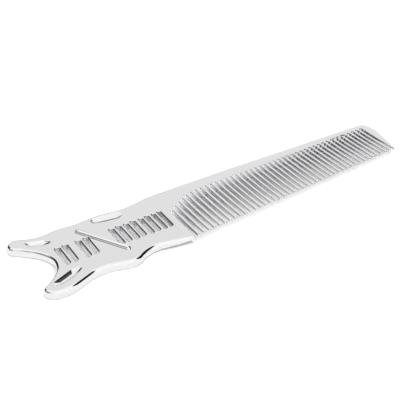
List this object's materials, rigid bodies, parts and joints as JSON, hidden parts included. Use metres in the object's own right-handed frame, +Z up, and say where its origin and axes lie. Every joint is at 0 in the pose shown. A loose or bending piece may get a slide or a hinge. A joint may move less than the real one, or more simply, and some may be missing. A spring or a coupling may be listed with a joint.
{
  "type": "barber comb",
  "caption": "One-piece polished metal cutting comb with a row of straight teeth, a pierced handle and a fishtail end.",
  "frame": {"origin": "on the flat underside, in the middle of the heel: the web between the handle and the first gap, half-way across the comb", "axes": "+X along the comb from the tail to the tip guard, +Y towards the back edge (the teeth point to -Y), +Z up from the underside"},
  "size_m": [0.1824, 0.0388, 0.0049],
  "materials": {
    "polished_metal": "mirror-polished, with fine hairline scratches"
  },
  "bodies": {
    "root": {"handle_plate": "polished_metal", "back_prong": "polished_metal", "front_prong": "polished_metal", "diagonal_rib": "polished_metal", "heel": "polished_metal", "spine": "polished_metal", "tip_guard": "polished_metal", "tooth_01": "polished_metal", "tooth_02": "polished_metal", "tooth_03": "polished_metal", "tooth_04": "polished_metal", "tooth_05": "polished_metal", "tooth_06": "polished_metal", "tooth_07": "polished_metal", "tooth_08": "polished_metal", "tooth_09": "polished_metal", "tooth_10": "polished_metal", "tooth_11": "polished_metal", "tooth_12": "polished_metal", "tooth_13": "polished_metal", "tooth_14": "polished_metal", "tooth_15": "polished_metal", "tooth_16": "polished_metal", "tooth_17": "polished_metal", "tooth_18": "polished_metal", "tooth_19": "polished_metal", "tooth_20": "polished_metal", "tooth_21": "polished_metal", "tooth_22": "polished_metal", "tooth_23": "polished_metal", "tooth_24": "polished_metal", "tooth_25": "polished_metal", "tooth_26": "polished_metal", "tooth_27": "polished_metal", "tooth_28": "polished_metal", "tooth_29": "polished_metal", "tooth_30": "polished_metal", "tooth_31": "polished_metal", "tooth_32": "polished_metal", "tooth_33": "polished_metal", "tooth_34": "polished_metal", "tooth_35": "polished_metal", "tooth_36": "polished_metal", "tooth_37": "polished_metal", "tooth_38": "polished_metal", "tooth_39": "polished_metal", "tooth_40": "polished_metal", "tooth_41": "polished_metal", "tooth_42": "polished_metal"}
  },
  "joints": []
}
